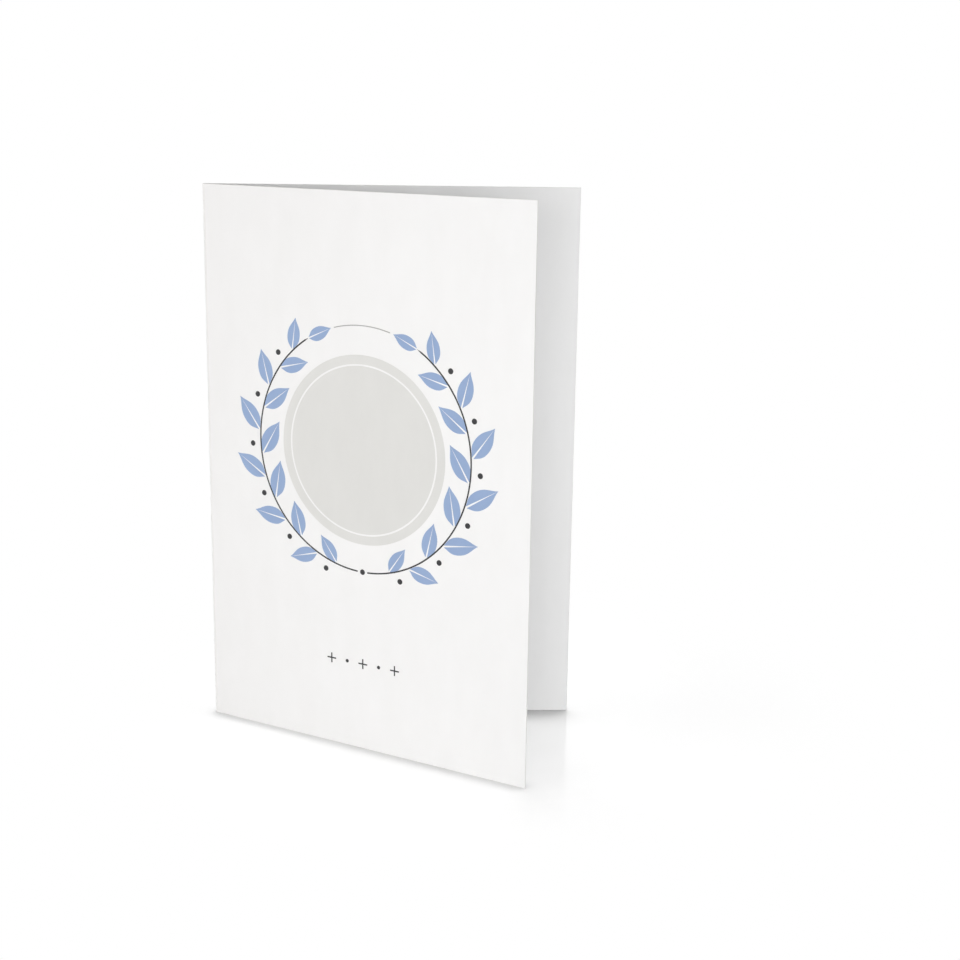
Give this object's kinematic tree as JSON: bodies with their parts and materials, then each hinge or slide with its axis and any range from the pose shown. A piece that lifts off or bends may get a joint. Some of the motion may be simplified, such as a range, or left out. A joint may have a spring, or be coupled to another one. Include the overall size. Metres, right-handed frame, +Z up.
{
  "type": "greeting card",
  "caption": "Folded greeting card of creased white board, standing ajar on its lower edges, with a printed cover and a plain inside.",
  "frame": {"origin": "centre of the card's footprint, on the surface that it stands on", "axes": "+Z up along the fold, +X from the fold towards the open side midway between the leaves, +Y from the cover towards the back leaf"},
  "size_m": [0.096, 0.0564, 0.148],
  "materials": {
    "white_board": "matte",
    "grey_ink": "matte",
    "blue_ink": "matte",
    "dark_ink": "matte"
  },
  "bodies": {
    "root": {"folded_card": "white_board"}
  },
  "joints": []
}
